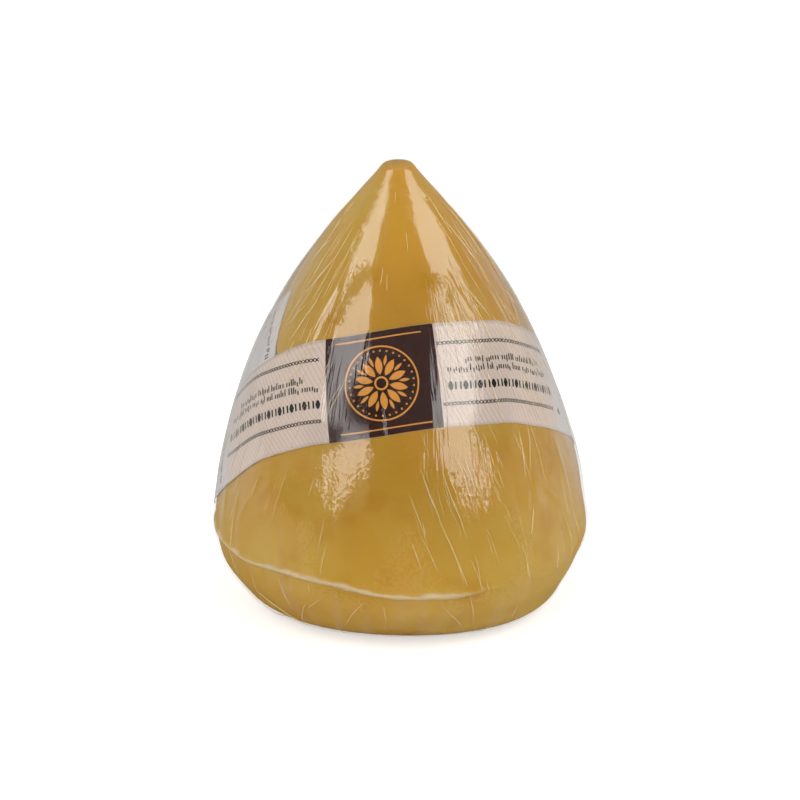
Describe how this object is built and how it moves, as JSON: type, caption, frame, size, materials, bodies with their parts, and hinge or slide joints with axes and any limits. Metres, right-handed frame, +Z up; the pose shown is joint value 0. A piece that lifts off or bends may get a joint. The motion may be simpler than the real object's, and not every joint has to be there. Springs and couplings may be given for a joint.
{
  "type": "whole smoked cheese in film",
  "caption": "Drop-shaped smoked cow's-milk cheese with a pointed top and a flat foot, wrapped tight in clear film over a slanting paper label band.",
  "frame": {"origin": "centre of the flat foot, on the surface the cheese stands on", "axes": "+Z up through the pointed top; the label's dark front panel faces -Y; +X is to the right of someone facing it"},
  "size_m": [0.1218, 0.1208, 0.1465],
  "materials": {
    "cheese": "waxy amber smoked rind seen through glossy clear film",
    "label_band": "thin cream paper with a dark brown panel at the front"
  },
  "bodies": {
    "root": {"cheese": "cheese", "label_band": "label_band"}
  },
  "joints": []
}
